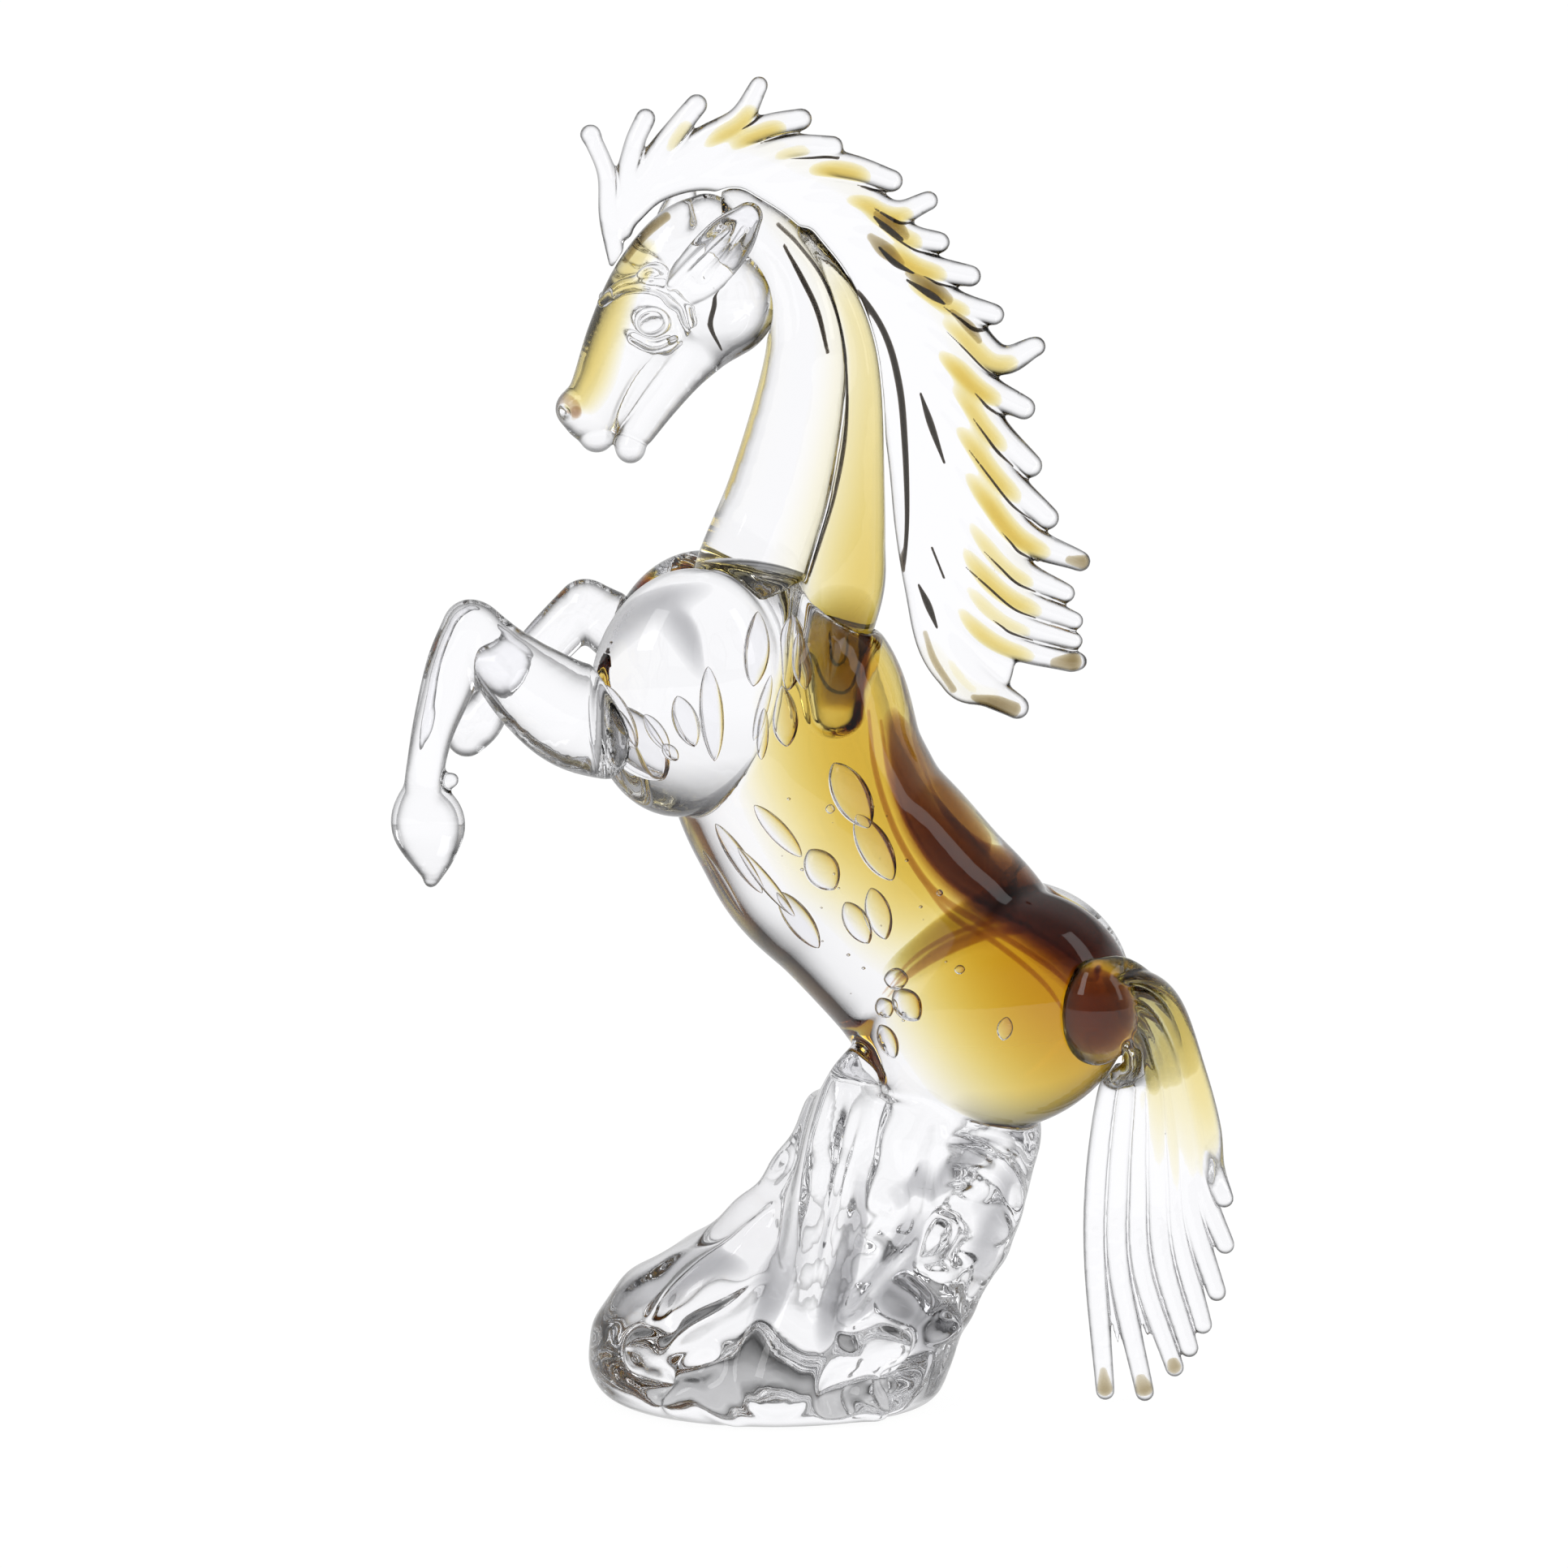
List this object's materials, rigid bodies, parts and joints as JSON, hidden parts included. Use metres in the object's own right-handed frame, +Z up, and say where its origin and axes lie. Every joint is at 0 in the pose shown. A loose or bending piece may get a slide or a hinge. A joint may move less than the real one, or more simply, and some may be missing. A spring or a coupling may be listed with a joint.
{
  "type": "glass horse figurine",
  "caption": "Rearing horse figurine in hot-worked clear glass with an amber core, combed mane and falling tail, on a clear glass rock.",
  "frame": {"origin": "middle of the rock's flat underside", "axes": "+Z up; the horse faces -X and its left side is -Y"},
  "size_m": [0.2467, 0.093, 0.3899],
  "materials": {
    "clear_glass": "fire-polished clear glass",
    "amber_glass": "transparent golden amber glass",
    "dark_amber_glass": "deep brown amber glass"
  },
  "bodies": {
    "root": {"base_rock": "clear_glass", "left_hind_leg": "clear_glass", "right_hind_leg": "clear_glass", "body_casing": "clear_glass", "left_shoulder": "clear_glass", "right_shoulder": "clear_glass", "left_foreleg": "clear_glass", "right_foreleg": "clear_glass", "neck_casing": "clear_glass", "head": "clear_glass", "left_ear": "clear_glass", "right_ear": "clear_glass", "mane_sheet": "clear_glass", "mane_lock_01": "clear_glass", "mane_lock_02": "clear_glass", "mane_lock_03": "clear_glass", "mane_lock_04": "clear_glass", "mane_lock_05": "clear_glass", "mane_lock_06": "clear_glass", "mane_lock_07": "clear_glass", "mane_lock_08": "clear_glass", "mane_lock_09": "clear_glass", "mane_lock_10": "clear_glass", "mane_lock_11": "clear_glass", "mane_lock_12": "clear_glass", "mane_lock_13": "clear_glass", "mane_lock_14": "clear_glass", "mane_lock_15": "clear_glass", "mane_lock_16": "clear_glass", "mane_lock_17": "clear_glass", "mane_lock_18": "clear_glass", "mane_lock_19": "clear_glass", "mane_lock_20": "clear_glass", "mane_lock_21": "clear_glass", "tail_lock_01": "clear_glass", "tail_lock_02": "clear_glass", "tail_lock_03": "clear_glass", "tail_lock_04": "clear_glass", "tail_lock_05": "clear_glass", "tail_lock_06": "clear_glass", "tail_lock_07": "clear_glass", "tail_lock_08": "clear_glass", "body_core": "amber_glass", "neck_core": "amber_glass", "face_strip": "amber_glass", "tail_root": "dark_amber_glass"}
  },
  "joints": []
}
